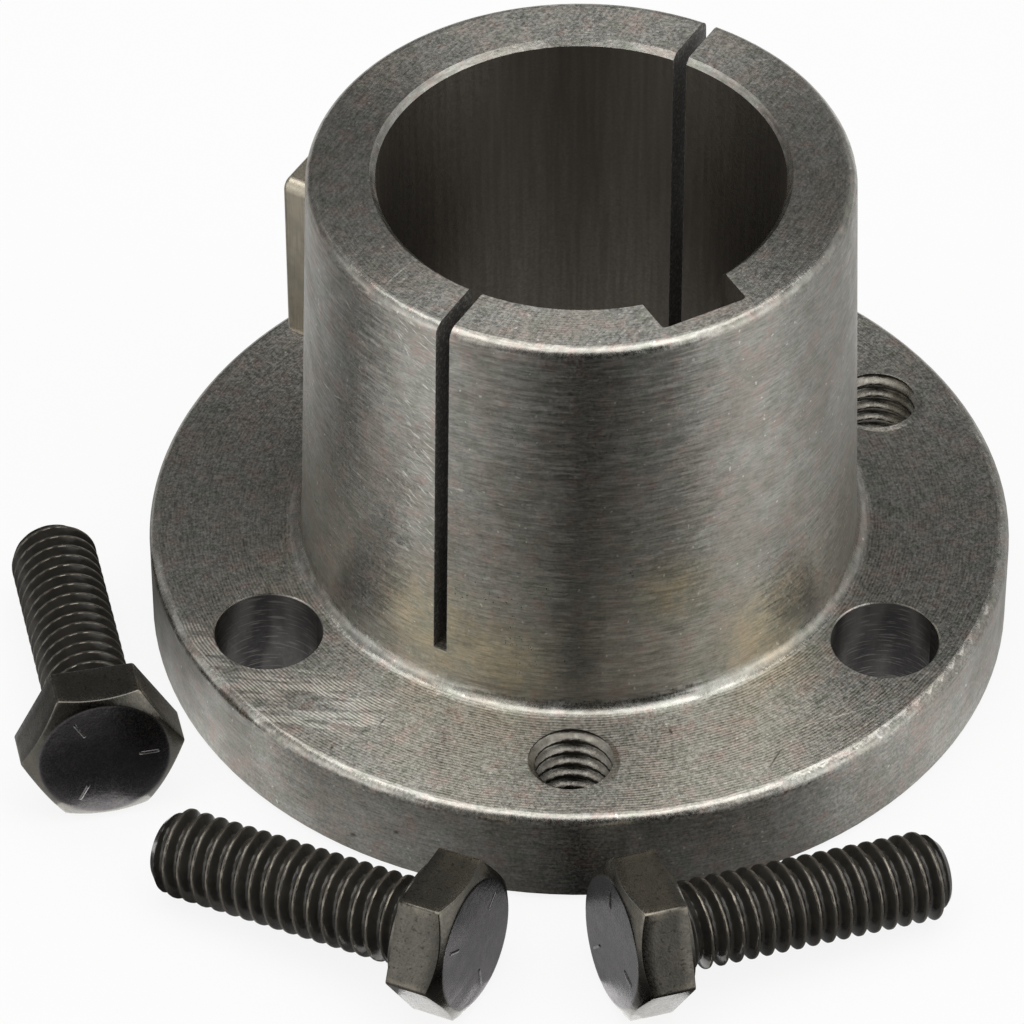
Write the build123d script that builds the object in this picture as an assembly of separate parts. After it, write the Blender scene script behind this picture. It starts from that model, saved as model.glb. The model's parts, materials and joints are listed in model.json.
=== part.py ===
from build123d import *
import os
from math import atan2, cos, degrees, radians, sin, sqrt, tan

# A split taper bushing for a keyed shaft, with its three cap screws laid beside it.
# The origin is on the bore's axis, in the flat outer face of the flange. +Z runs up the
# bore towards the thin end of the barrel, and the bore's keyway lies towards -Y.
# Lengths are millimetres and angles are degrees, counted from +X towards +Y.

# Flange
flange_diameter = 76.2
flange_thickness = 9.6
flange_edge_radius = 1.0
outer_face_chamfer = 0.6

# Barrel: its diameter is the large one, where the cone meets the flange's plane
overall_length = 49.2
barrel_diameter = 49.23
taper_on_diameter = 1 / 16
barrel_rim_radius = 1.0
barrel_root_radius = 1.4

# Bore and its keyway
bore_diameter = 34.925
bore_chamfer = 0.5
keyway_width = 7.94
keyway_side_depth = 3.97
keyway_corner_radius = 0.4
keyway_angle = -90.0

# Saw cut through both walls of the barrel
saw_cut_width = 1.25
saw_cut_floor_height = 4.1
saw_cut_angle = 31.6

# Holes in the flange
bolt_circle_diameter = 61.9
clearance_hole_diameter = 9.4
clearance_hole_break = 0.1
clearance_hole_angles = (-60.0, 60.0, 180.0)
tapped_hole_diameter = 7.94
tapped_hole_angles = (-120.0, 0.0)

# Key on the barrel, square to the saw cut, in a seat milled parallel to the bore.
# Its projection is measured at its top end, where the barrel is thinner.
key_width = 9.525
key_height = 6.35
key_length = 17.5
key_top_height = 40.4
key_projection = 3.3
key_corner_radius = 1.0
key_edge_radius = 0.4
key_fit_clearance = 0.02
key_angle = saw_cut_angle + 90.0

# Cap screws
screw_length = 24.9
screw_diameter = 7.75
screw_tip_chamfer = 1.1
head_across_flats = 12.45
head_height = 5.16
head_crown_angle = 33.0
head_crown_diameter = 11.5
washer_face_diameter = 11.8
washer_face_height = 0.4

# Where each loose screw lies: how far the middle of its bearing face is from the flange's
# edge, in which direction from the bore's axis, and its heading from head to tip
first_screw_distance = 9.6
second_screw_distance = 10.9
third_screw_distance = 9.95
screw_places = (
    ("cap_screw_1", first_screw_distance, 179.5, 73.2),
    ("cap_screw_2", second_screw_distance, -134.75, 123.3),
    ("cap_screw_3", third_screw_distance, -110.2, -7.6),
)

flange_radius = flange_diameter / 2
barrel_radius = barrel_diameter / 2
bore_radius = bore_diameter / 2
screw_radius = screw_diameter / 2
through_cut = 2 * overall_length


def cone_radius(height):
    """The barrel's radius at a height above the flange's outer face."""
    return barrel_radius - (height - flange_thickness) * taper_on_diameter / 2


def polar(radius, angle, height=0.0):
    """A point at a distance and a direction from the bore's axis."""
    return Vector(radius * cos(radians(angle)), radius * sin(radians(angle)), height)


def turned_blank():
    """The flange and the tapered barrel as they leave the lathe, with the bore."""
    with BuildPart() as blank:
        with BuildSketch(Plane.XZ):
            with BuildLine():
                Polyline(
                    (bore_radius, 0),
                    (flange_radius, 0),
                    (flange_radius, flange_thickness),
                    (barrel_radius, flange_thickness),
                    (cone_radius(overall_length), overall_length),
                    (bore_radius, overall_length),
                    close=True,
                )
            make_face()
            root = vertices().group_by(Axis.Y)[1].sort_by(Axis.X)[0]
            fillet(root, barrel_root_radius)
            rim = vertices().group_by(Axis.Y)[-1].sort_by(Axis.X)[-1]
            fillet(rim, barrel_rim_radius)
            shoulder = vertices().group_by(Axis.X)[-1].sort_by(Axis.Y)[-1]
            fillet(shoulder, flange_edge_radius)
            foot = vertices().group_by(Axis.X)[-1].sort_by(Axis.Y)[0]
            chamfer(foot, outer_face_chamfer)
            mouths = vertices().group_by(Axis.X)[0]
            chamfer(mouths, bore_chamfer)
        revolve(axis=Axis.Z)
    return blank.part


def clearance_cutter():
    """A cutter for one clearance hole, which also breaks both its edges."""
    radius = clearance_hole_diameter / 2
    mouth = Cone(radius, radius + 2 * clearance_hole_break, 2 * clearance_hole_break)
    top = Pos(0, 0, flange_thickness) * mouth
    bottom = Rot(X=180) * mouth
    return Cylinder(radius, through_cut) + top + bottom


def tapping_cutter():
    """A cutter for one tapped hole, as wide as its thread."""
    return Cylinder(tapped_hole_diameter / 2, through_cut)


def on_bolt_circle(cutter, angles):
    """One copy of a cutter for each angle."""
    return [Pos(polar(bolt_circle_diameter / 2, angle)) * cutter for angle in angles]


def keyway_cutter():
    """The broached keyway: its depth is measured at its side, where the bore's wall ends."""
    floor = sqrt(bore_radius**2 - (keyway_width / 2) ** 2) + keyway_side_depth
    slot = Box(floor, keyway_width, through_cut, align=(Align.MIN, Align.CENTER, Align.CENTER))
    corners = slot.edges().filter_by(Axis.Z).group_by(Axis.X)[-1]
    return Rot(Z=keyway_angle) * fillet(corners, keyway_corner_radius)


def saw_cutter():
    """A blade as wide as the saw cut, fed down from the rim to just above the flange."""
    floor = flange_thickness + saw_cut_floor_height
    blade = Box(
        flange_diameter,
        saw_cut_width,
        overall_length,
        align=(Align.CENTER, Align.CENTER, Align.MIN),
    )
    return Pos(0, 0, floor) * Rot(Z=saw_cut_angle) * blade


def key_block(clearance=0.0):
    """The key where it sits, or with a clearance the cutter for its seat."""
    outer_face = cone_radius(key_top_height) + key_projection
    block = Box(
        key_height,
        key_width + 2 * clearance,
        key_length + 2 * clearance,
        align=(Align.MAX, Align.CENTER, Align.CENTER),
    )
    block = fillet(block.edges().filter_by(Axis.X), key_corner_radius + clearance)
    middle = key_top_height - key_length / 2
    return Rot(Z=key_angle) * Pos(outer_face, 0, middle) * block


def bushing_body():
    """The bushing, turned and then drilled, broached, sawn and milled for its key."""
    body = turned_blank()
    body -= on_bolt_circle(clearance_cutter(), clearance_hole_angles)
    body -= on_bolt_circle(tapping_cutter(), tapped_hole_angles)
    body -= keyway_cutter()
    body -= saw_cutter()
    return body - key_block(key_fit_clearance)


def hub_key():
    """The key, with the edges of its proud face rounded."""
    key = key_block()
    outward = Axis((0, 0, 0), polar(1, key_angle))
    return fillet(key.faces().sort_by(outward)[-1].edges(), key_edge_radius)


def hexagon_head():
    """The head, from its bearing face at Z = 0 down to its crowned face."""
    hexagon = RegularPolygon(head_across_flats / 2, 6, major_radius=False, rotation=30)
    prism = extrude(Pos(0, 0, -head_height) * hexagon, head_height - washer_face_height)
    reach = head_across_flats
    upright = (Align.CENTER, Align.CENTER, Align.MIN)
    crown_depth = (reach - head_crown_diameter / 2) * tan(radians(head_crown_angle))
    crown = Cone(head_crown_diameter / 2, reach, crown_depth, align=upright)
    above = Pos(0, 0, crown_depth) * Cylinder(reach, head_height, align=upright)
    envelope = Pos(0, 0, -head_height) * (crown + above)
    hanging = (Align.CENTER, Align.CENTER, Align.MAX)
    washer_face = Cylinder(washer_face_diameter / 2, head_height / 2, align=hanging)
    return (prism & envelope) + washer_face


def shank():
    """The shank up +Z, as wide as it is over its thread, with a chamfered tip."""
    bar = Cylinder(screw_radius, screw_length, align=(Align.CENTER, Align.CENTER, Align.MIN))
    return chamfer(bar.faces().sort_by(Axis.Z)[-1].edges(), screw_tip_chamfer)


def lying(distance, direction, heading):
    """A screw's place on the floor: it rests on a flat of its head and on its tip."""
    rise = head_across_flats / 2 - screw_radius
    run = screw_length - screw_tip_chamfer + washer_face_height
    dip = atan2(rise, run)
    height = (head_across_flats / 2 - washer_face_height * tan(dip)) * cos(dip)
    middle = polar(flange_radius + distance, direction, height)
    return Pos(middle) * Rot(Z=heading) * Rot(Y=90 + degrees(dip))


def build_all():
    """Every piece of the object by the name of its node."""
    pieces = {"bushing_body": bushing_body(), "hub_key": hub_key()}
    screw = hexagon_head() + shank()
    for name, distance, direction, heading in screw_places:
        pieces[name] = lying(distance, direction, heading) * screw
    return pieces


os.makedirs("parts", exist_ok=True)
for name, piece in build_all().items():
    export_step(piece, f"parts/{name}.step")
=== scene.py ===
import json
import math

import bpy
import numpy as np
from mathutils import Matrix, Vector

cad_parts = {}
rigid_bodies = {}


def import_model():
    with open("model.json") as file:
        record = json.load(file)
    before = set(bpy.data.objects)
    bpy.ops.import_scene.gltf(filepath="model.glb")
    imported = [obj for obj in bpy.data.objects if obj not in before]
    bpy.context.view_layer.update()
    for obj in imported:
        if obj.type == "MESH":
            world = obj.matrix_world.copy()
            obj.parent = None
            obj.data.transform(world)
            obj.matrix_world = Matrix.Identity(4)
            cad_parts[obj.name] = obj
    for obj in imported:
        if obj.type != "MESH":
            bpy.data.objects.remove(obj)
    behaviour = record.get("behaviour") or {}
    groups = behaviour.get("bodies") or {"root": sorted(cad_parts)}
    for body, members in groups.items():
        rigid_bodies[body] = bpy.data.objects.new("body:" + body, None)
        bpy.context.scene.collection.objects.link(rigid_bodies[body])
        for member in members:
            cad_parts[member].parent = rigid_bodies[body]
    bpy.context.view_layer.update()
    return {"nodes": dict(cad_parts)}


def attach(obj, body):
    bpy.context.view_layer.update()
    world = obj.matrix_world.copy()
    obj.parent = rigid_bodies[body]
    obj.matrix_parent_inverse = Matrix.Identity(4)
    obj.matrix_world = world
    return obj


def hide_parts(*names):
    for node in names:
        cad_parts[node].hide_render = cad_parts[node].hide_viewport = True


# A split taper bushing with its three cap screws beside it, on a plain pale floor.
# Lengths are millimetres until a mesh, a light or the camera is made, and metres after.
MM = 0.001

# Sizes shared with the source
FLANGE_RADIUS = 38.1
FLANGE_TOP = 9.6
BODY_TOP = 49.2
BARREL_RADIUS = 24.615
TAPER_ON_RADIUS = 1 / 32
BORE_RADIUS = 17.4625
KEYWAY_HALF = 3.97
KEYWAY_FAR, KEYWAY_NEAR = -21.6, -16.0  # its walls lie between these values of Y
BOLT_CIRCLE_RADIUS = 30.95
CLEARANCE_RADIUS = 4.7
CLEARANCE_ANGLES = (-60.0, 60.0, 180.0)
TAPPED_RADIUS = 3.97
TAPPED_ANGLES = (-120.0, 0.0)
SAW_ANGLE = 31.6
SAW_HALF = 0.625
SAW_FLOOR = 13.7

SCREW_LENGTH = 24.9
SCREW_RADIUS = 3.875
SCREW_TIP = 1.1
HEAD_HALF = 6.225
HEAD_HEIGHT = 5.16
CROWN_RADIUS = 5.75
CROWN_SLOPE = math.tan(math.radians(33.0))
WASHER_RADIUS = 5.9
WASHER_HEIGHT = 0.4

# Each screw: its distance from the flange's edge, direction and heading, and its first dash's angle
SCREWS = (
    ("cap_screw_1", 9.6, 179.5, 73.2, 30.0),
    ("cap_screw_2", 10.9, -134.75, 123.3, 0.0),
    ("cap_screw_3", 9.95, -110.2, -7.6, 40.0),
)

# What the source leaves out: threads, their run-out, the hexagons' rounded corners and the dashes
PITCH = 25.4 / 18
FLANK_FROM, FLANK_TO = 0.20, 0.86
THREAD_DEPTH = 0.84
RUNOUT_DEPTH = 0.301
TAPPED_CREST_RADIUS = 3.32
HEXAGON_CORNER = 0.35
DASH_MIDDLE = 3.9
DASH_HALF_LENGTH = 0.9
DASH_HALF_WIDTH = 0.17
DASH_LIFT = 0.11

# A liner's rings lie this far inside the faces of the flange and reach this far over its hole
MOUTH_DROP = 0.003
MOUTH_LAP = 0.02

# The mesh attribute that holds a screw's points in its own frame
OWN_PLACE = "own_place"

# The photograph's view, in a frame whose -Y points at the camera, and that frame's turn
CAMERA_ANGLE = -118.62
VIEW_TURN = math.radians(CAMERA_ANGLE + 90.0)
VIEW_ELEVATION = math.radians(42.729)
VIEW_ROLL = math.radians(-0.178)
VIEW_DISTANCE = 575.11
VIEW_SHIFT = (-5.949, -11.066)
VIEW_HEIGHT = 25.0
FOCAL = 232.17
SENSOR_WIDTH = 36.0


def turned(vector):
    """A vector of the camera's frame in the part's frame."""
    return Matrix.Rotation(VIEW_TURN, 3, "Z") @ Vector(vector)


def polar(radius, degrees, z=0.0):
    """A point at a distance and a direction from the bore's axis."""
    a = math.radians(degrees)
    return Vector((radius * math.cos(a), radius * math.sin(a), z))


# The tool's feed in a turn on the flat faces, the side where its lines' painted shade and glint
# are strongest, and how far the walls' normals lean along the cut
FEED = 0.29
RING_GLINT_SIDE = -118.62
LEAN = 0.075

# Colours of the turned steel, its stains and its marks
STEEL_GREY = (0.475, 0.468, 0.425)
STEEL_BROWN = (0.42, 0.395, 0.35)
STEEL_RED = (0.45, 0.365, 0.325)
STEEL_GREEN = (0.42, 0.44, 0.36)
STAIN_OLIVE = (0.56, 0.49, 0.33)
SCRATCH_PALE = (0.88, 0.86, 0.80)
CUT_DARK = (0.08, 0.07, 0.06)

# Colours of its walls in the bore, the drilled holes and the saw cut, dark as painted shade in these
# recesses
BORE_DARK = (0.155, 0.138, 0.115)
BORE_PALE = (0.205, 0.185, 0.155)
BORE_BROWN = (0.125, 0.108, 0.092)
HOLE_DARK = (0.070, 0.066, 0.066)
HOLE_GREY = (0.155, 0.148, 0.142)
HOLE_PALE = (0.27, 0.26, 0.24)
SAWN_DARK = (0.11, 0.105, 0.095)
SAWN_PALE = (0.36, 0.34, 0.31)

# Colours of the tapped threads and of the key
TAPPED_PALE = (0.30, 0.285, 0.25)
TAPPED_DARK = (0.19, 0.175, 0.15)
KEY_PALE = (0.60, 0.54, 0.43)
KEY_GREY = (0.50, 0.45, 0.36)
KEY_LINE = (0.38, 0.34, 0.28)

# Colours of the blackened screws, as pairs for two kinds of patch, and of their wear, which on the
# thread's crests is also a painted glint
OXIDE_HEAD = ((0.120, 0.116, 0.100), (0.150, 0.140, 0.120))
OXIDE_FACE = ((0.125, 0.120, 0.128), (0.155, 0.146, 0.150))
OXIDE_SHANK = ((0.062, 0.056, 0.047), (0.042, 0.040, 0.035))
OXIDE_BROWN = (0.10, 0.088, 0.072)
OXIDE_WORN_GLINT = (0.24, 0.215, 0.175)
OXIDE_DASH = (0.36, 0.35, 0.34)
OXIDE_PIT = (0.04, 0.037, 0.03)

# Scuffs on the flange's top face: the direction of their streaks, and from, to and reach of each
SCUFF_ANGLE = -38.0
SCUFFS = (
    ((-37.2, 4.0), (-36.5, -2.0), 2.2),
    ((-36.5, -3.5), (-28.0, -11.0), 3.0),
    ((-36.7, -9.3), (-29.5, -13.6), 2.6),
)

# Bright scratches on the barrel: angle and height of the start, then the turn and the drop
SCRATCH_WIDTH = 0.13
BARREL_SCRATCHES = (
    (174.0, 33.6, 4.0, -0.2),
    (179.5, 33.9, 3.0, -0.5),
    (184.1, 45.7, 1.5, 0.3),
    (187.0, 39.9, 0.7, 0.2),
    (199.6, 46.8, 2.4, 1.1),
    (202.0, 45.7, 1.6, 1.1),
    (224.0, 32.0, 1.2, 0.1),
    (243.0, 22.4, 1.1, -0.1),
    (227.7, 35.3, 0.7, 0.1),
    (244.2, 33.7, 0.7, -0.1),
)

# File strokes left of the front saw cut: their slope, how wide the filed strip is, and its height
FILE_SLOPE = math.radians(31)
FILED_WIDTH = 5.5
FILED_FROM, FILED_TO = 14.0, 30.0

# Bright scratches on the barrel's top face: start and end
TOP_SCRATCHES = (
    (-21.6, -5.1, -18.2, -3.5),
    (-20.2, -5.3, -19.4, -5.0),
    (-19.1, -7.4, -18.4, -7.8),
    (-22.6, 5.4, -22.1, 5.8),
)

# Bright nicks along the flange's rim and on its side: start, end and reach
RIM_NICKS = (
    ((-35.0, 14.3, 9.5), (-36.9, 8.4, 9.5), 0.50),
    ((-37.2, 6.9, 9.5), (-37.5, 3.0, 9.4), 0.40),
    ((2.7, -32.4, 9.6), (13.4, -33.8, 9.6), 0.10),
    ((12.3, -33.9, 9.6), (19.2, -31.1, 9.6), 0.10),
    ((6.9, -36.9, 9.4), (13.9, -34.6, 9.4), 0.35),
    ((-20.3, -32.2, 6.9), (-19.2, -32.9, 6.7), 0.13),
)

# Dark cuts and pits: start, end and reach
DARK_CUTS = (
    ((-6.4, -27.4, 9.6), (-6.5, -28.0, 9.6), 0.20),
    ((-27.9, -14.9, 9.6), (-27.2, -14.5, 9.6), 0.16),
    ((-1.4, -35.6, 9.6), (0.9, -34.0, 9.6), 0.15),
    ((-32.9, -15.5, 9.6), (-32.7, -15.3, 9.6), 0.25),
    ((-32.9, -19.1, 2.4), (-32.8, -19.3, 2.5), 0.40),
    ((-30.6, -22.7, 4.7), (-30.5, -22.8, 4.8), 0.35),
)

# Olive stains on the barrel near the flange: centre and reach
OLIVE_STAINS = (
    (polar(24.5, -150.0, 16.0), 8.5),
    (polar(24.2, -134.0, 14.0), 6.0),
    (polar(24.4, -76.0, 14.0), 8.0),
    (polar(24.0, -100.0, 22.0), 5.0),
)


def make_camera():
    """The camera, where the photograph's stood."""
    ahead = Vector((0, math.cos(VIEW_ELEVATION), -math.sin(VIEW_ELEVATION)))
    right = Vector((1, 0, 0))
    up = right.cross(ahead)
    target = Vector((0, 0, VIEW_HEIGHT)) + VIEW_SHIFT[0] * right + VIEW_SHIFT[1] * up
    place = target - VIEW_DISTANCE * ahead
    c, s = math.cos(VIEW_ROLL), math.sin(VIEW_ROLL)
    axes = (c * right + s * up, c * up - s * right, -ahead)
    data = bpy.data.cameras.new("camera")
    data.lens = FOCAL
    data.sensor_width = SENSOR_WIDTH
    data.clip_start, data.clip_end = 0.01, 20.0
    camera = bpy.data.objects.new("camera", data)
    matrix = Matrix([turned(a) for a in axes]).transposed().to_4x4()
    matrix.translation = turned(place) * MM
    camera.matrix_world = matrix
    bpy.context.scene.collection.objects.link(camera)
    bpy.context.scene.camera = camera


class Graph:
    """A material's node tree, with short names for the nodes that it uses."""

    def __init__(self, name):
        self.material = bpy.data.materials.new(name)
        self.material.use_nodes = True
        self.tree = self.material.node_tree
        self.tree.nodes.clear()
        self.shader = self.node("ShaderNodeBsdfPrincipled")
        out = self.node("ShaderNodeOutputMaterial")
        self.link(self.shader.outputs[0], out.inputs[0])

    def node(self, kind, **settings):
        n = self.tree.nodes.new(kind)
        for key, value in settings.items():
            setattr(n, key, value)
        return n

    def link(self, a, b):
        self.tree.links.new(a, b)

    def put(self, socket, value):
        """Link a socket to an input, or set the input to a value."""
        if isinstance(value, bpy.types.NodeSocket):
            self.link(value, socket)
        elif isinstance(value, (tuple, list, Vector)) and socket.type == "RGBA":
            socket.default_value = (*value[:3], 1.0)
        else:
            socket.default_value = value

    def set(self, name, value):
        """One input of the shader, by its name."""
        self.put(self.shader.inputs[name], value)

    def math(self, operation, a, b=0.0):
        n = self.node("ShaderNodeMath", operation=operation)
        self.put(n.inputs[0], a)
        self.put(n.inputs[1], b)
        return n.outputs[0]

    def fold(self, operation, values):
        """One value from several, taken in turn."""
        total = values[0]
        for value in values[1:]:
            total = self.math(operation, total, value)
        return total

    def times(self, *values):
        return self.fold("MULTIPLY", values)

    def plus(self, *values):
        return self.fold("ADD", values)

    def most(self, *values):
        return self.fold("MAXIMUM", values)

    def minus(self, a, b):
        return self.math("SUBTRACT", a, b)

    def vector(self, operation, a, b=(0, 0, 0), scale=None):
        n = self.node("ShaderNodeVectorMath", operation=operation)
        self.put(n.inputs[0], a)
        self.put(n.inputs[1], b)
        if scale is not None:
            self.put(n.inputs["Scale"], scale)
        is_number = operation in ("LENGTH", "DISTANCE", "DOT_PRODUCT")
        return n.outputs["Value" if is_number else "Vector"]

    def dot(self, a, b):
        return self.vector("DOT_PRODUCT", a, b)

    def split(self, vector):
        n = self.node("ShaderNodeSeparateXYZ")
        self.link(vector, n.inputs[0])
        return n.outputs

    def join(self, x, y, z=0.0):
        n = self.node("ShaderNodeCombineXYZ")
        for socket, value in zip(n.inputs, (x, y, z)):
            self.put(socket, value)
        return n.outputs[0]

    def ramp(self, value, low, high, to_low=0.0, to_high=1.0):
        """A smooth step from one level to another, between low and high."""
        n = self.node("ShaderNodeMapRange", interpolation_type="SMOOTHSTEP")
        for name, v in (("Value", value), ("From Min", low), ("From Max", high)):
            self.put(n.inputs[name], v)
        n.inputs["To Min"].default_value = to_low
        n.inputs["To Max"].default_value = to_high
        return n.outputs[0]

    def fall(self, value, low, high):
        """1 up to low, and 0 from high on."""
        return self.ramp(value, low, high, 1.0, 0.0)

    def noise(self, vector, scale, detail=2.0, rough=0.5):
        n = self.node("ShaderNodeTexNoise")
        self.link(vector, n.inputs["Vector"])
        n.inputs["Scale"].default_value = scale
        n.inputs["Detail"].default_value = detail
        n.inputs["Roughness"].default_value = rough
        return n.outputs[0]

    def mix(self, factor, a, b):
        n = self.node("ShaderNodeMix", data_type="RGBA")
        for index, value in ((0, factor), (6, a), (7, b)):
            self.put(n.inputs[index], value)
        return n.outputs[2]

    def blend(self, factor, a, b):
        """A number between two, as mix is a colour between two."""
        n = self.node("ShaderNodeMix", data_type="FLOAT")
        for index, value in ((0, factor), (2, a), (3, b)):
            self.put(n.inputs[index], value)
        return n.outputs[0]

    def bump(self, height, distance, strength=1.0, after=None):
        """A normal from a height, whose distance is in millimetres."""
        n = self.node("ShaderNodeBump")
        n.inputs["Distance"].default_value = distance * MM
        n.inputs["Strength"].default_value = strength
        self.put(n.inputs["Height"], height)
        if after is not None:
            self.link(after, n.inputs["Normal"])
        return n.outputs[0]

    def millimetres(self):
        """A place on the object, in the part's own frame."""
        n = self.node("ShaderNodeTexCoord")
        return self.vector("SCALE", n.outputs["Object"], scale=1000.0)

    def facing_up(self):
        """1 on level faces and 0 on upright ones."""
        n = self.node("ShaderNodeNewGeometry")
        return self.math("ABSOLUTE", self.split(n.outputs["True Normal"])[2])

    def stroke(self, place, a, b, width):
        """1 in the middle of a slim spindle from a to b, and 0 from its width on."""
        a, b = Vector(a), Vector(b)
        n = self.node("ShaderNodeTexGradient", gradient_type="SPHERICAL")
        self.link(place, n.inputs["Vector"])
        n.texture_mapping.vector_type = "TEXTURE"
        n.texture_mapping.translation = (a + b) / 2
        n.texture_mapping.rotation = (b - a).to_track_quat("X", "Z").to_euler()
        n.texture_mapping.scale = (0.75 * (b - a).length + width, width, width)
        return n.outputs["Fac"]


def steel_regions(g, place):
    """Masks of the bushing's surface: flat, bore with keyway, drilled, sawn, and rounded edges."""
    x, y, z = g.split(place)
    plan = g.join(x, y)
    radius = g.vector("LENGTH", plan)
    up = g.facing_up()
    flat = g.ramp(up, 0.9, 0.97)
    steep = g.fall(up, 0.6, 0.8)
    upright = g.fall(up, 0.3, 0.5)
    in_bore = g.fall(radius, BORE_RADIUS + 0.49, BORE_RADIUS + 0.54)
    in_keyway = g.times(
        g.fall(g.math("ABSOLUTE", x), KEYWAY_HALF - 0.02, KEYWAY_HALF + 0.08),
        g.ramp(y, KEYWAY_FAR, KEYWAY_FAR + 0.1),
        g.fall(y, KEYWAY_NEAR, KEYWAY_NEAR + 0.1),
    )
    bore = g.times(g.most(in_bore, in_keyway), upright)
    holes = []
    for angle in CLEARANCE_ANGLES:
        away = g.vector("DISTANCE", plan, polar(BOLT_CIRCLE_RADIUS, angle))
        holes.append(g.fall(away, CLEARANCE_RADIUS + 0.02, CLEARANCE_RADIUS + 0.08))
    drilled = g.times(g.most(*holes), steep)
    from_cut = g.math("ABSOLUTE", g.dot(plan, polar(1.0, SAW_ANGLE + 90.0)))
    in_cut = g.fall(from_cut, SAW_HALF + 0.015, SAW_HALF + 0.055)
    sawn = g.times(in_cut, steep, g.ramp(z, SAW_FLOOR - 0.2, SAW_FLOOR - 0.1))
    edge = g.times(g.ramp(up, 0.15, 0.6), g.ramp(up, 0.99, 0.95))
    return flat, bore, drilled, sawn, edge


def on_barrel(angle, z):
    """A point of the barrel's surface."""
    return polar(BARREL_RADIUS - (z - FLANGE_TOP) * TAPER_ON_RADIUS, angle, z)


def steel_marks(g, place, grain, tint):
    """Masks of the wear: pale scuffs, bright scratches and file strokes, and dark cuts."""
    scuffs = []
    for start, end, reach in SCUFFS:
        scuffs.append(g.stroke(place, (*start, FLANGE_TOP), (*end, FLANGE_TOP), reach))
    along = g.dot(place, polar(0.18, SCUFF_ANGLE))
    across = g.dot(place, polar(1.5, SCUFF_ANGLE + 90.0))
    streaks = g.ramp(g.noise(g.join(along, across), 1.0, 1.0), 0.38, 0.62)
    scuff = g.ramp(g.times(g.most(*scuffs), streaks), 0.05, 0.45)
    lines = []
    for angle, z, turn, drop in BARREL_SCRATCHES:
        lines.append((on_barrel(angle, z), on_barrel(angle + turn, z - drop), SCRATCH_WIDTH))
    for x_start, y_start, x_end, y_end in TOP_SCRATCHES:
        lines.append(((x_start, y_start, BODY_TOP), (x_end, y_end, BODY_TOP), SCRATCH_WIDTH))
    scratches = g.most(*[g.stroke(place, *line) for line in (*lines, *RIM_NICKS)])
    broken = g.ramp(grain, 0.25, 0.75, 0.5, 1.3)
    bright = g.most(g.times(g.ramp(scratches, 0.1, 0.9), broken), file_strokes(g, place, tint))
    cuts = g.most(*[g.stroke(place, *cut) for cut in DARK_CUTS])
    return scuff, bright, g.ramp(cuts, 0.1, 0.9)


def file_strokes(g, place, tint):
    """Short strokes of a file in a ragged strip on the left of the front saw cut."""
    side, ahead = along_cut(g, place)
    z = g.split(place)[2]
    slope_cos, slope_sin = math.cos(FILE_SLOPE), math.sin(FILE_SLOPE)
    across = g.minus(g.times(side, slope_sin), g.times(z, slope_cos))
    along = g.plus(g.times(side, slope_cos), g.times(z, slope_sin))
    hatch = g.noise(g.join(g.times(across, 4.2), g.times(along, 0.7)), 1.0, 1.0)
    ragged = g.plus(side, g.ramp(tint, 0.35, 0.65, -2.5, 2.5))
    return g.times(
        g.ramp(ragged, FILED_WIDTH, 1.0),
        g.ramp(side, 0.5, 0.7),
        g.ramp(z, FILED_FROM, FILED_TO),
        g.ramp(ahead, BARREL_RADIUS - 4.0, BARREL_RADIUS - 3.0),
        g.ramp(z, BODY_TOP, BODY_TOP - 0.8),
        g.ramp(hatch, 0.56, 0.70),
    )


def along_cut(g, place):
    """A place by the saw cut's own directions: square to it, and along it to the front."""
    side = g.dot(place, polar(1.0, SAW_ANGLE + 90.0))
    ahead = g.dot(place, polar(1.0, SAW_ANGLE + 180.0))
    return side, ahead


def wrapped(g, outward, height, around, upward):
    """A place for noise on a round wall, with one scale around the axis and one up it."""
    x, y, _ = g.split(outward)
    return g.join(g.times(x, around), g.times(y, around), g.times(height, upward))


def feed_lines_and_glint(g, place, radius, outward, patches, scuff):
    """Even rings where the tool moved by one feed a turn, drawn in colour as painted shade and glint
    of the grooves, stronger on the side towards the camera and in scuffs.
    """
    z = g.split(place)[2]
    drift = g.times(g.noise(place, 0.30, 0.0), 9.0)
    turn = g.plus(g.times(radius, 2 * math.pi / FEED), drift)
    # painted glint of the rings: strongest on the side that faces the camera
    front = g.ramp(g.dot(outward, polar(1.0, RING_GLINT_SIDE)), -0.1, 0.7, 0.25, 1.0)
    lower = g.ramp(z, 30.0, 20.0, 0.3, 1.0)
    depth = g.times(g.ramp(patches, 0.35, 0.65, 0.14, 0.32), lower, front)
    return g.times(g.math("SINE", turn), g.plus(depth, g.times(scuff, 0.35)))


def shaded_wall_colour(g, place, outward, grain, drilled, sawn):
    """The walls, dark as painted shade in the recesses: streaked in the bore, banded in the drilled
    holes and torn in the saw cut.
    """
    streaks = g.noise(wrapped(g, outward, g.split(place)[2], 34.0, 0.10), 1.0, 1.0, 0.6)
    walls = g.mix(g.ramp(streaks, 0.25, 0.80), BORE_DARK, BORE_PALE)
    walls = g.mix(g.ramp(grain, 0.3, 0.7, 0.0, 0.4), walls, BORE_BROWN)
    bands = g.noise(g.vector("MULTIPLY", place, (0.38, 0.38, 0.10)), 1.0, 1.0, 0.4)
    lines = g.noise(g.vector("MULTIPLY", place, (0.45, 0.45, 5.0)), 1.0, 1.0, 0.6)
    hole = g.mix(g.ramp(bands, 0.38, 0.62), HOLE_DARK, HOLE_GREY)
    hole = g.mix(g.ramp(lines, 0.52, 0.72, 0.0, 0.6), hole, HOLE_PALE)
    torn = g.mix(g.ramp(grain, 0.45, 0.7), SAWN_DARK, SAWN_PALE)
    return g.mix(sawn, g.mix(drilled, walls, hole), torn)


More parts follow.
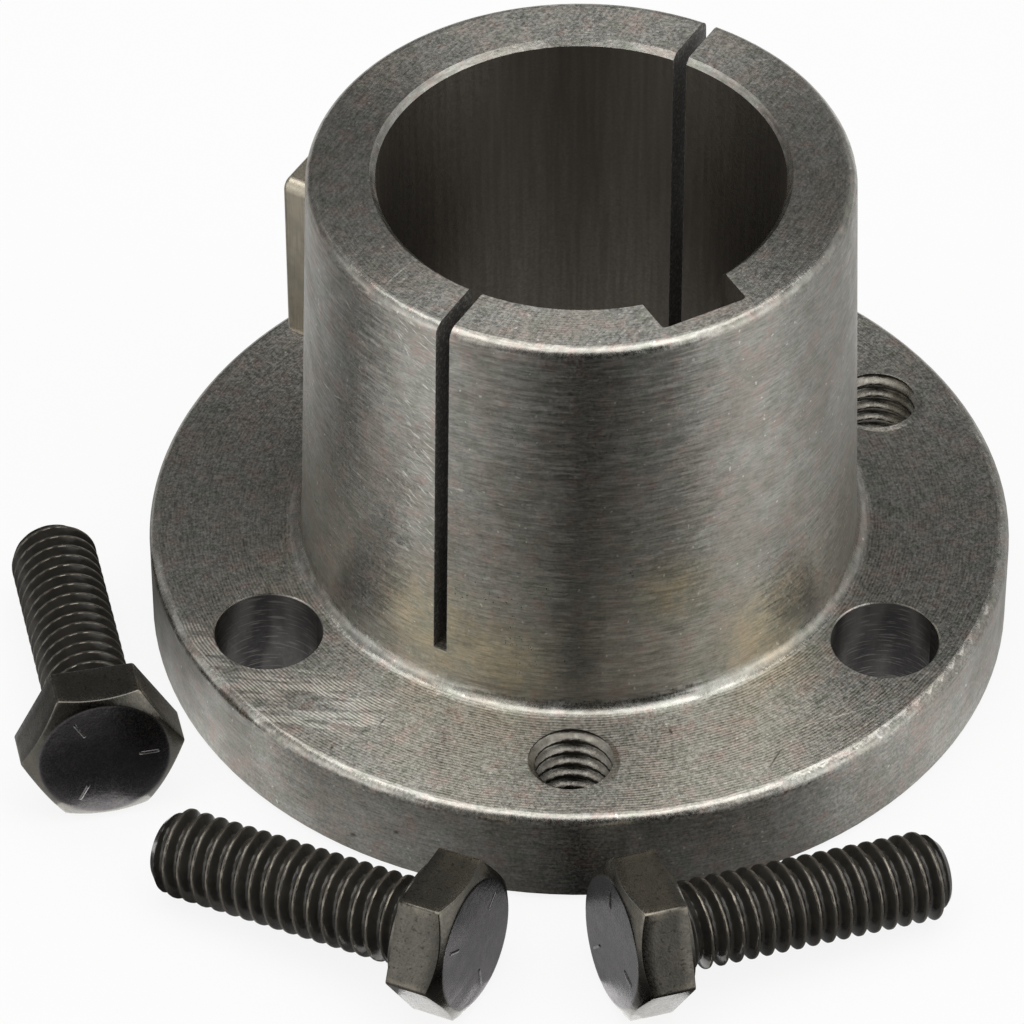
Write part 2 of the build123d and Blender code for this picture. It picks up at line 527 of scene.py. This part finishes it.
def frayed(g, normal, outward, z, spared):
    """A normal that leans along the cut, line by line, which frays the bands that walls mirror."""
    fray = g.noise(wrapped(g, outward, z, 8.0, 3.2), 1.0, 1.0, 0.65)
    fray = g.times(g.ramp(fray, 0.25, 0.75, -LEAN, LEAN), g.minus(1.0, spared))
    cos_a, sin_a, _ = g.split(outward)
    lean = g.join(g.times(sin_a, fray, -1.0), g.times(cos_a, fray))
    return g.vector("NORMALIZE", g.vector("ADD", normal, lean))


def machined_steel():
    """Turned grey steel: feed lines round its axis with their painted shade and glint, mottled
    patches, worn edges, and a bore, holes and saw cut darkened with painted shade.
    """
    g = Graph("turned_steel")
    place = g.millimetres()
    x, y, z = g.split(place)
    plan = g.join(x, y)
    radius = g.vector("LENGTH", plan)
    outward = g.vector("NORMALIZE", plan)
    flat, bore, drilled, sawn, edge = steel_regions(g, place)
    shaded_wall = g.most(bore, drilled, sawn)
    upper = g.ramp(z, 30.0, 40.0)

    # Mottle at three scales, lone specks, and streaks drawn out along the cut
    patches = g.noise(place, 0.22, 2.0, 0.6)
    tint = g.noise(place, 0.55, 3.0, 0.70)
    grain = g.noise(place, 3.4, 2.0, 0.75)
    specks = g.noise(place, 2.3, 0.0, 0.0)
    hoops = g.noise(wrapped(g, outward, g.plus(z, radius), 22.0, 7.0), 1.0, 1.0, 0.6)
    scuff, bright, cut = steel_marks(g, place, grain, tint)

    # Colour: neutral grey with brown, red and olive patches
    colour = g.mix(g.ramp(patches, 0.38, 0.64), STEEL_GREY, STEEL_BROWN)
    colour = g.mix(g.ramp(tint, 0.51, 0.68, 0.0, 0.75), colour, STEEL_RED)
    colour = g.mix(g.ramp(tint, 0.48, 0.30, 0.0, 0.55), colour, STEEL_GREEN)
    for centre, reach in OLIVE_STAINS:
        near = g.fall(g.vector("DISTANCE", place, centre), 0.15 * reach, reach)
        near = g.times(near, g.ramp(tint, 0.35, 0.6, 0.30, 0.65))
        colour = g.mix(near, colour, STAIN_OLIVE)

    # Shade: fine speckle, calmer on the barrel and high up, feed lines with their painted shade and
    # glint, and a hatch on the top face
    barrel = g.times(g.ramp(radius, 27.0, 26.0), g.ramp(flat, 1.0, 0.0))
    calm = g.most(barrel, upper)
    side, ahead = along_cut(g, place)
    hatch = g.noise(g.join(g.times(side, 4.2), g.times(ahead, 0.4)), 1.0, 1.0, 0.6)
    shade = g.plus(
        g.times(g.ramp(grain, 0.28, 0.72, -0.24, 0.24), g.blend(calm, 1.0, 0.4)),
        g.ramp(hoops, 0.25, 0.75, -0.15, 0.15),
        g.times(feed_lines_and_glint(g, place, radius, outward, patches, scuff), flat),
        g.times(scuff, 0.42),
        g.times(g.ramp(hatch, 0.35, 0.65, -0.12, 0.12), flat, upper),
        g.ramp(tint, 0.3, 0.7, 0.91, 1.09),
    )
    colour = g.vector("SCALE", colour, scale=shade)

    # Marks over it, and the walls' painted shade
    lit = g.most(g.times(bright, 0.8), g.ramp(specks, 0.80, 0.84, 0.0, 0.7))
    colour = g.mix(lit, colour, SCRATCH_PALE)
    colour = g.mix(g.times(cut, 0.8), colour, CUT_DARK)
    # painted shade: the bore, drilled holes and saw cut take the much darker wall colours
    colour = g.mix(shaded_wall, colour, shaded_wall_colour(g, place, outward, grain, drilled, sawn))
    g.set("Base Color", colour)
    g.set("Metallic", g.blend(sawn, 1.0, 0.3))
    g.set("Anisotropic", 0.8)
    g.set("Anisotropic Rotation", 0.25)
    tangent = g.node("ShaderNodeTangent", direction_type="RADIAL", axis="Z")
    g.set("Tangent", tangent.outputs[0])

    # Roughness and relief
    rough = g.plus(g.ramp(grain, 0.3, 0.7, -0.06, 0.06), g.ramp(patches, 0.3, 0.7, 0.33, 0.38))
    rough = g.plus(rough, g.times(scuff, 0.09))
    rough = g.blend(edge, rough, g.ramp(grain, 0.3, 0.7, 0.22, 0.29))
    rough = g.blend(shaded_wall, rough, g.ramp(grain, 0.3, 0.7, 0.42, 0.52))
    g.set("Roughness", rough)
    relief = g.bump(grain, 0.018, 0.5, g.bump(tint, 0.06, 0.7))
    g.set("Normal", frayed(g, relief, outward, z, g.most(flat, shaded_wall)))
    return g.material


def key_steel():
    """The key's lighter cold-drawn steel, with faint lines along it."""
    g = Graph("drawn_key_steel")
    place = g.millimetres()
    lines = g.noise(g.vector("MULTIPLY", place, (6.0, 6.0, 0.25)), 1.0)
    grain = g.noise(place, 5.0, 2.0, 0.6)
    patches = g.noise(place, 0.5, 2.0, 0.6)
    colour = g.mix(g.ramp(patches, 0.35, 0.65), KEY_PALE, KEY_GREY)
    colour = g.mix(g.ramp(lines, 0.4, 0.7, 0.0, 0.4), colour, KEY_LINE)
    g.set("Base Color", colour)
    g.set("Metallic", 1.0)
    g.set("Roughness", g.ramp(grain, 0.3, 0.7, 0.30, 0.42))
    g.set("Normal", g.bump(grain, 0.015, 0.4, g.bump(lines, 0.02, 0.5)))
    return g.material


def black_oxide():
    """Blackened steel under a film of oil, a little worn on the crests and corners, the lighter
    crests also a painted glint.
    """
    g = Graph("blackened_screw")
    place = g.node("ShaderNodeAttribute", attribute_name=OWN_PLACE).outputs["Vector"]
    x, y, z = g.split(place)
    radius = g.vector("LENGTH", g.join(x, y))
    grain = g.noise(place, 4.5, 3.0, 0.65)
    patches = g.noise(place, 0.6, 3.0, 0.6)
    patched = g.ramp(patches, 0.35, 0.65)

    # Masks: the shank, its crests, the head's corners, face and sides, and the raised dashes
    top = -HEAD_HEIGHT
    shank = g.ramp(z, 0.0, 0.1)
    crest = g.times(g.ramp(radius, SCREW_RADIUS - 0.075, SCREW_RADIUS - 0.015), g.ramp(z, 0.2, 0.6))
    corner = g.ramp(radius, 6.80, 7.05)
    face = g.times(g.ramp(z, top + 0.12, top + 0.02), g.ramp(radius, 5.9, 5.6))
    side = g.times(g.ramp(radius, 6.05, 6.15), g.ramp(z, -4.3, -4.1))
    dash = g.ramp(z, top - 0.03, top - 0.09)
    wear_and_glint = g.times(g.most(crest, corner), g.ramp(patches, 0.35, 0.65, 0.2, 0.9))
    pits = g.times(g.fall(g.noise(place, 2.6, 2.0, 0.6), 0.34, 0.40), side)

    colour = g.mix(patched, *OXIDE_HEAD)
    colour = g.mix(face, colour, g.mix(patched, *OXIDE_FACE))
    colour = g.mix(g.ramp(grain, 0.35, 0.7, 0.0, 0.4), colour, OXIDE_BROWN)
    colour = g.mix(shank, colour, g.mix(patched, *OXIDE_SHANK))
    # lighter worn crests and corners; on the thread's crests this is also a painted glint
    colour = g.mix(wear_and_glint, colour, OXIDE_WORN_GLINT)
    colour = g.mix(g.times(dash, g.ramp(grain, 0.35, 0.6, 0.3, 1.0)), colour, OXIDE_DASH)
    colour = g.mix(g.times(pits, 0.6), colour, OXIDE_PIT)
    g.set("Base Color", colour)
    g.set("Metallic", g.blend(g.minus(shank, g.times(shank, wear_and_glint)), 1.0, 0.4))
    g.set("Roughness", g.minus(g.ramp(grain, 0.3, 0.7, 0.17, 0.30), g.times(shank, 0.06)))
    relief = g.bump(grain, 0.02, 0.5, g.bump(patches, 0.06, 0.5))
    g.set("Normal", g.bump(pits, 0.05, -0.6, relief))
    return g.material


def tapped_steel():
    """The cut thread in the tapped holes, in two greys and a little oily."""
    g = Graph("tapped_thread")
    place = g.millimetres()
    grain = g.noise(place, 5.0, 2.0, 0.6)
    patches = g.noise(place, 1.1, 2.0, 0.6)
    g.set("Base Color", g.mix(g.ramp(patches, 0.35, 0.65), TAPPED_PALE, TAPPED_DARK))
    g.set("Metallic", 1.0)
    g.set("Roughness", g.ramp(grain, 0.3, 0.7, 0.26, 0.4))
    g.set("Normal", g.bump(grain, 0.02, 0.4))
    return g.material


def mesh_object(name, points, faces, material, smooth=True):
    """A new object in the scene, from points and faces."""
    mesh = bpy.data.meshes.new(name)
    mesh.from_pydata([tuple(p) for p in points], [], [tuple(f) for f in faces])
    mesh.validate()
    mesh.materials.append(material)
    mesh.polygons.foreach_set("use_smooth", [smooth] * len(mesh.polygons))
    mesh.update()
    obj = bpy.data.objects.new(name, mesh)
    bpy.context.scene.collection.objects.link(obj)
    return obj


def ring_faces(rows, columns, first=0):
    """Quads between rows of a closed ring each, wound so that they face out."""
    faces = []
    for i in range(rows - 1):
        a, b = first + i * columns, first + (i + 1) * columns
        for j in range(columns):
            k = (j + 1) % columns
            faces.append((a + j, a + k, b + k, b + j))
    return faces


def thread_depth(phase):
    """0 on a thread's crest and 1 in its root, for a phase of one turn."""
    from_root = np.abs((phase % 1.0) - 0.5) * 2.0
    t = np.clip((FLANK_TO - from_root) / (FLANK_TO - FLANK_FROM), 0.0, 1.0)
    return t * t * (3.0 - 2.0 * t) * 0.35 + t * 0.65


def round_ring(angles, radius, z, centre=(0.0, 0.0)):
    """Points round an axis at one height, with one radius or one for each direction."""
    x = centre[0] + radius * np.cos(angles)
    y = centre[1] + radius * np.sin(angles)
    return np.stack([x, y, np.full(len(angles), z)], 1)


def thread_liner(name, direction, material, face_material):
    """The helical thread inside a tapped hole, and the flange's face round its mouths."""
    rows, columns = 150, 96
    centre = polar(BOLT_CIRCLE_RADIUS, direction)
    angles = np.linspace(0, 2 * math.pi, columns, endpoint=False)
    reach = TAPPED_RADIUS - 0.02 - TAPPED_CREST_RADIUS
    low, high = MOUTH_DROP, FLANGE_TOP - MOUTH_DROP
    rings = []
    for z in np.linspace(low, high, rows):
        depth = thread_depth(z / PITCH - angles / (2 * math.pi))
        rings.append(round_ring(angles, TAPPED_CREST_RADIUS + reach * depth, z, centre))
    faces = [tuple(reversed(f)) for f in ring_faces(rows, columns)]
    for inner, z, order in ((rings[-1], high, 1), (rings[0], low, -1)):
        first = len(rings) * columns
        rings += [inner, round_ring(angles, TAPPED_RADIUS + MOUTH_LAP, z, centre)]
        faces += [f[::order] for f in ring_faces(2, columns, first)]
    obj = mesh_object(name, np.concatenate(rings) * MM, faces, material)
    obj.data.materials.append(face_material)
    for polygon in obj.data.polygons[-2 * columns:]:
        polygon.material_index = 1
    mark_sharp(obj, 35.0)
    return obj


def mark_sharp(obj, degrees):
    """Smooth shading, except over edges sharper than the angle."""
    bpy.context.view_layer.objects.active = obj
    obj.select_set(True)
    bpy.ops.object.shade_smooth_by_angle(angle=math.radians(degrees))
    obj.select_set(False)


def hexagon_angles():
    """Directions round a head: dense over the rounded corners, flat by flat."""
    out = []
    for side in range(6):
        out += [side * 60.0 + d for d in np.linspace(-27.6, 27.6, 14)]
        out += [side * 60.0 + d for d in np.linspace(28.0, 32.0, 9)]
    return np.radians(np.array(out))


def hexagon_radius(angles, half, corner):
    """How far a hexagon with rounded corners reaches in each direction."""
    from_flat = np.abs((np.degrees(angles) + 30.0) % 60.0 - 30.0)
    straight = half / np.cos(np.radians(from_flat))
    centre = (half - corner) / math.cos(math.radians(30.0))
    b = np.radians(30.0 - from_flat)
    under = np.maximum(corner**2 - (centre * np.sin(b)) ** 2, 0.0)
    rounded = centre * np.cos(b) + np.sqrt(under)
    limit = math.atan2(corner * 0.5, centre + corner * math.cos(math.radians(30.0)))
    return np.where(b < limit, rounded, straight)


def grade_dash(angle):
    """A low raised dash on the head's face, pointing at its middle."""
    rows, columns = 17, 9
    c, s = math.cos(angle), math.sin(angle)
    points, faces = [], []
    for i in range(rows):
        for j in range(columns):
            u, v = i / (rows - 1) * 2 - 1, j / (columns - 1) * 2 - 1
            r = DASH_MIDDLE + DASH_HALF_LENGTH * u
            w = DASH_HALF_WIDTH * v
            lift = DASH_LIFT * min(1.0, (1 - abs(u) ** 6) * 1.4) * max(0.0, 1 - v * v) ** 0.7
            points.append((r * c - w * s, r * s + w * c, -HEAD_HEIGHT + 0.01 - lift))
    for i in range(rows - 1):
        for j in range(columns - 1):
            a = i * columns + j
            faces.append((a, a + columns, a + columns + 1, a + 1))
    return points, faces


def head_rings(angles):
    """Rings of the head, from round the middle of its face, over its sides, to its washer face."""
    outline = hexagon_radius(angles, HEAD_HALF, HEXAGON_CORNER)
    circle = np.ones(len(angles))
    top, low = -HEAD_HEIGHT, -WASHER_HEIGHT
    shoulder = top + np.maximum(outline - CROWN_RADIUS, 0.0) * CROWN_SLOPE
    rings = [(circle * r, circle * top) for r in (0.5, 2.0, 3.5, 4.8, 5.45, 5.62)]
    rings += [(circle * 5.72, circle * (top + 0.015)), (circle * 5.82, circle * (top + 0.055))]
    for share in (0.35, 0.7, 0.92):
        r = CROWN_RADIUS + (outline - CROWN_RADIUS) * share
        rings.append((r, top + (r - CROWN_RADIUS) * CROWN_SLOPE))
    rings += [(outline - 0.015, shoulder + 0.02), (outline, shoulder + 0.07)]
    for share in (0.25, 0.5, 0.75):
        rings.append((outline, (shoulder + 0.07) * (1 - share) + (low - 0.10) * share))
    rings += [
        (outline, circle * (low - 0.10)),
        (outline - 0.03, circle * (low - 0.03)),
        (outline - 0.10, circle * low),
        (circle * (WASHER_RADIUS + 0.05), circle * low),
        (circle * WASHER_RADIUS, circle * (low + 0.05)),
        (circle * WASHER_RADIUS, circle * -0.06),
        (circle * (WASHER_RADIUS - 0.06), circle * 0.0),
        (circle * 4.4, circle * 0.0),
    ]
    return [np.stack([r * np.cos(angles), r * np.sin(angles), z], 1) for r, z in rings]


def shank_rings(angles):
    """Rings of the shank: the thread fades out under the head, and the tip's chamfer cuts it."""
    rings = []
    for z in np.linspace(-0.02, SCREW_LENGTH, 380):
        depth = thread_depth(z / PITCH - angles / (2 * math.pi))
        full = min(max((z - 0.5) / 1.5, 0.0), 1.0)
        r = SCREW_RADIUS - RUNOUT_DEPTH * (1 - full) - THREAD_DEPTH * depth * full
        r = np.minimum(r, SCREW_RADIUS - max(0.0, z - (SCREW_LENGTH - SCREW_TIP)))
        neck = 0.5 * max(0.0, 1 - z / 0.5) ** 2
        rings.append(round_ring(angles, r + neck, z))
    for r, drop in ((2.5, 0.01), (1.9, 0.10), (1.0, 0.16)):
        rings.append(round_ring(angles, r, SCREW_LENGTH - drop))
    return rings


def capped(rings, middle, at_start):
    """Points and faces of a tube of rings, closed by a fan from its first or last ring."""
    columns = len(rings[0])
    faces = ring_faces(len(rings), columns)
    hub = len(rings) * columns
    ring = 0 if at_start else hub - columns
    for j in range(columns):
        k = (j + 1) % columns
        faces.append((hub, ring + k, ring + j) if at_start else (ring + j, ring + k, hub))
    return np.concatenate([*rings, [middle]]), faces


def cap_screw(name, material, dash_angle, placing):
    """A hexagon-head screw with its head below Z = 0 and its tip up, then put in place."""
    round_angles = np.linspace(0, 2 * math.pi, 96, endpoint=False)
    parts = [
        capped(head_rings(hexagon_angles()), (0.0, 0.0, -HEAD_HEIGHT), True),
        capped(shank_rings(round_angles), (0.0, 0.0, SCREW_LENGTH - 0.17), False),
    ]
    parts += [grade_dash(math.radians(dash_angle + 120.0 * k)) for k in range(3)]
    points, faces = [], []
    for part_points, part_faces in parts:
        base = len(points)
        points += [tuple(p) for p in part_points]
        faces += [tuple(base + i for i in face) for face in part_faces]
    obj = mesh_object(name, points, faces, material)
    own = obj.data.attributes.new(OWN_PLACE, "FLOAT_VECTOR", "POINT")
    own.data.foreach_set("vector", np.array(points, np.float32).ravel())
    obj.data.transform(placing @ Matrix.Scale(MM, 4))
    mark_sharp(obj, 38.0)
    return obj


def lying(distance, direction, heading):
    """A screw's place on the floor, on a flat of its head and on its tip."""
    rise = HEAD_HALF - SCREW_RADIUS
    run = SCREW_LENGTH - SCREW_TIP + WASHER_HEIGHT
    dip = math.atan2(rise, run)
    height = (HEAD_HALF - WASHER_HEIGHT * math.tan(dip)) * math.cos(dip)
    middle = polar(FLANGE_RADIUS + distance, direction, height) * MM
    turn = Matrix.Rotation(math.radians(heading), 4, "Z") @ Matrix.Rotation(math.pi / 2 + dip, 4, "Y")
    return Matrix.Translation(middle) @ turn


# Tones round the studio in steps of 30 degrees from behind the object, by way of its left,
# the camera's side and its right: what shiny steel mirrors, low down, higher up and in the floor
LOW_TONES = (0.15, 0.15, 0.25, 0.8, 1.6, 0.2, 0.0, 0.0, 1.7, 0.95, 0.5, 0.45)
HIGH_TONES = (0.0, 0.4, 0.4, 0.45, 0.75, 0.35, 0.0, 0.1, 1.05, 0.85, 0.3, 0.1)
FLOOR_TONES = (1.0, 0.65, 0.5, 0.1, 0.9, 0.35, 0.0, 0.2, 0.75, 0.45, 0.45, 0.9)

# The soft box above: size and height in metres, and power
TOP_BOX = (0.76, 0.70, 3.15)

# A dark spot in the floor's mirrored tones, ahead of the first screw's face: place, reach and level
FLOOR_SPOT = (-51.1, -14.3, 11.0, 0.1)

# White cards on the floor: one under each screw's head, a little on the camera's side, and
# one between the second and third head, which their faces mirror: place, reach and level
CARD_LIFT = 0.1
CARD_SHIFT = 2.0
CARDS = ((4.5, 1.2), (4.8, 1.3), (4.8, 1.3))
FACE_CARD = (-25.2, -41.0, 8.5, 0.46)


class Studio:
    """The node tree of the floor or the world, with what the two share."""

    def __init__(self, tree):
        self.tree = tree
        tree.nodes.clear()

    def node(self, kind, *inputs, **settings):
        n = self.tree.nodes.new(kind)
        for key, value in settings.items():
            setattr(n, key, value)
        for socket, value in zip(n.inputs, inputs):
            if isinstance(value, bpy.types.NodeSocket):
                self.tree.links.new(value, socket)
            elif value is not None:
                socket.default_value = value
        return n.outputs[0] if n.outputs else None

    def from_camera(self, output):
        """x, y and z of a place or a direction, turned so that -y is the camera's side."""
        turn = self.node("ShaderNodeVectorRotate", output, rotation_type="Z_AXIS")
        turn.node.inputs["Angle"].default_value = -VIEW_TURN
        return self.node("ShaderNodeSeparateXYZ", turn).node.outputs

    def tones(self, x, y, levels):
        """A level that goes round the object, from a ring of values."""
        back = self.node("ShaderNodeMath", y, -1.0, operation="MULTIPLY")
        angle = self.node("ShaderNodeMath", x, back, operation="ARCTAN2")
        share = self.node("ShaderNodeMapRange", angle, -math.pi, math.pi)
        ramp = self.node("ShaderNodeValToRGB", share)
        ring = list(levels) + [levels[0]]
        elements = ramp.node.color_ramp.elements
        while len(elements) < len(ring):
            elements.new(0.5)
        for i, (element, level) in enumerate(zip(elements, ring)):
            element.position = i / (len(ring) - 1)
            element.color = (level, level, level, 1)
        return ramp


def make_floor():
    """A pale floor, seen white, that keeps shadows and that shiny steel mirrors in other tones."""
    size = 3.0
    points = [(-size, -size, 0), (size, -size, 0), (size, size, 0), (-size, size, 0)]
    material = bpy.data.materials.new("pale_floor")
    material.use_nodes = True
    s = Studio(material.node_tree)
    path = s.node("ShaderNodeLightPath").node.outputs
    matt = s.node("ShaderNodeBsdfDiffuse", (0.9, 0.9, 0.9, 1))
    white = s.node("ShaderNodeEmission")
    white_share = s.node("ShaderNodeMath", path["Is Camera Ray"], 0.88, operation="MULTIPLY")
    seen = s.node("ShaderNodeMixShader", white_share, matt, white)
    place = s.node("ShaderNodeTexCoord").node.outputs["Object"]
    x, y, _ = s.from_camera(place)
    spot_x, spot_y, reach, level = FLOOR_SPOT
    spot = (spot_x * MM, spot_y * MM, 0.0)
    away = s.node("ShaderNodeVectorMath", place, spot, operation="DISTANCE").node.outputs["Value"]
    outside = s.node("ShaderNodeMapRange", away, 0.5 * reach * MM, reach * MM, level, 1.0)
    mirrored = s.node("ShaderNodeEmission", s.tones(x, y, FLOOR_TONES), outside)
    both = s.node("ShaderNodeMixShader", path["Is Glossy Ray"], seen, mirrored)
    s.node("ShaderNodeOutputMaterial", both)
    mesh_object("floor", points, [(0, 1, 2, 3)], material, smooth=False)


def make_world():
    """A soft studio: bright at both sides, dark behind the camera, dim behind the object."""
    world = bpy.data.worlds.new("studio")
    bpy.context.scene.world = world
    world.use_nodes = True
    s = Studio(world.node_tree)
    x, y, z = s.from_camera(s.node("ShaderNodeTexCoord").node.outputs["Generated"])
    low, high = s.tones(x, y, LOW_TONES), s.tones(x, y, HIGH_TONES)
    lower, upper = math.sin(math.radians(25)), math.sin(math.radians(50))
    level = s.node("ShaderNodeMapRange", z, lower, upper)
    mix = s.node("ShaderNodeMix", level, data_type="RGBA").node
    for index, source in ((6, low), (7, high)):
        s.tree.links.new(source, mix.inputs[index])
    ground = s.node("ShaderNodeMapRange", z, 0.0, lower, 0.65, 1.0)
    camera = s.node("ShaderNodeLightPath").node.outputs["Is Camera Ray"]
    lit = s.node("ShaderNodeBackground", mix.outputs[2], ground)
    white = s.node("ShaderNodeBackground", (1, 1, 1, 1), 1.0)
    both = s.node("ShaderNodeMixShader", camera, lit, white)
    s.node("ShaderNodeOutputWorld", both)


def make_cards(screws):
    """White cards on the floor round the screws' heads, which only the screws mirror."""
    lit = bpy.data.collections.new("lit_by_cards")
    for screw in screws:
        lit.objects.link(screw)
    shift = polar(CARD_SHIFT, CAMERA_ANGLE) * MM
    places = []
    for (reach, level), (node, distance, direction, heading, _) in zip(CARDS, SCREWS):
        head = lying(distance, direction, heading) @ Vector((0, 0, -HEAD_HEIGHT / 2 * MM))
        places.append((node + "_card", head.x + shift.x, head.y + shift.y, reach, level))
    x, y, reach, level = FACE_CARD
    places.append(("face_card", x * MM, y * MM, reach, level))
    for name, x, y, reach, level in places:
        data = bpy.data.lights.new(name, "AREA")
        data.shape = "DISK"
        data.size = 2 * reach * MM
        data.energy = level * math.pi * math.pi * (reach * MM) ** 2
        card = bpy.data.objects.new(name, data)
        card.location = (x, y, CARD_LIFT * MM)
        card.rotation_euler = (math.pi, 0, 0)
        card.visible_camera = False
        card.light_linking.receiver_collection = lit
        bpy.context.scene.collection.objects.link(card)


def make_top_box():
    """One large square soft box straight above."""
    size, height, power = TOP_BOX
    data = bpy.data.lights.new("top_box", "AREA")
    data.shape = "SQUARE"
    data.size = size
    data.energy = power
    light = bpy.data.objects.new("top_box", data)
    light.location = (0, 0, height)
    light.rotation_euler = (0, 0, VIEW_TURN)
    light.visible_camera = False
    bpy.context.scene.collection.objects.link(light)


bpy.context.scene.view_settings.view_transform = "Standard"
for left_over in list(bpy.data.objects):
    bpy.data.objects.remove(left_over)
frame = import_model()
make_camera()

steel = machined_steel()
frame["nodes"]["bushing_body"].material_slots[0].material = steel
frame["nodes"]["hub_key"].material_slots[0].material = key_steel()

tapped = tapped_steel()
for number, tapped_angle in enumerate(TAPPED_ANGLES, 1):
    liner = thread_liner(f"tapped_thread_{number}", tapped_angle, tapped, steel)
    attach(liner, "root")

oxide = black_oxide()
screws = []
for node, distance, direction, heading, dash in SCREWS:
    screw = cap_screw(node + "_threaded", oxide, dash, lying(distance, direction, heading))
    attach(screw, "root")
    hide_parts(node)
    screws.append(screw)

make_floor()
make_world()
make_top_box()
make_cards(screws)

bpy.context.view_layer.update()
